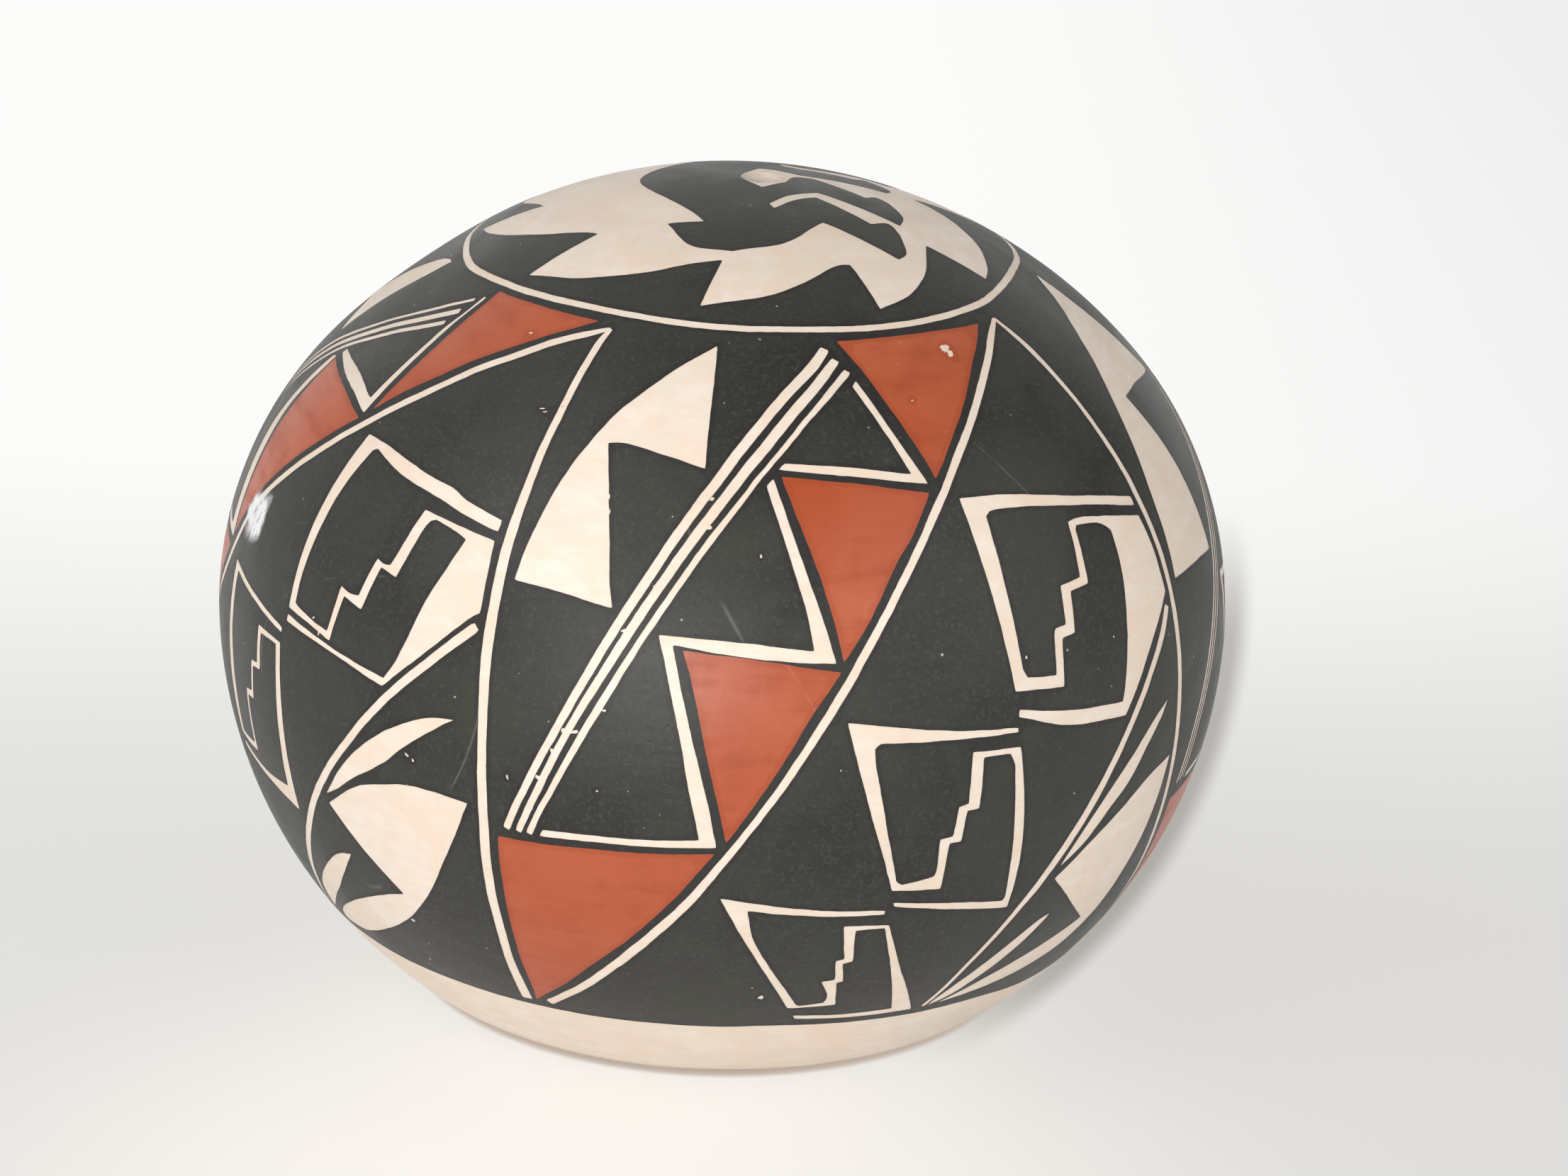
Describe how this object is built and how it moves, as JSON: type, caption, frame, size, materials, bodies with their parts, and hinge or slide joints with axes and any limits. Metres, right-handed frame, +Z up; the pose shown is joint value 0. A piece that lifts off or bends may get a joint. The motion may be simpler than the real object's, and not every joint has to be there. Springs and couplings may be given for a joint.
{
  "type": "seed pot",
  "caption": "Round coil-built pottery seed jar with a tiny seed hole in its closed crown, painted black, red and cream.",
  "frame": {"origin": "centre of the foot, on the surface that the pot stands on", "axes": "+Z up along the pot's axis; -Y faces the viewer of the picture; +X to the right"},
  "size_m": [0.1604, 0.1604, 0.1292],
  "materials": {
    "clay": "bare pale fired clay, smoothed by hand",
    "cream_slip": "stone-polished cream slip, satin",
    "black_paint": "matte to satin mineral black",
    "red_paint": "satin orange-red slip paint"
  },
  "bodies": {
    "root": {"base_pad": "clay", "lower_wall": "clay", "shoulder_wall": "clay", "crown": "clay", "cream_slip": "cream_slip", "black_band": "black_paint", "red_triangles": "red_paint", "black_crown_ring": "black_paint", "crown_figure": "black_paint"}
  },
  "joints": []
}
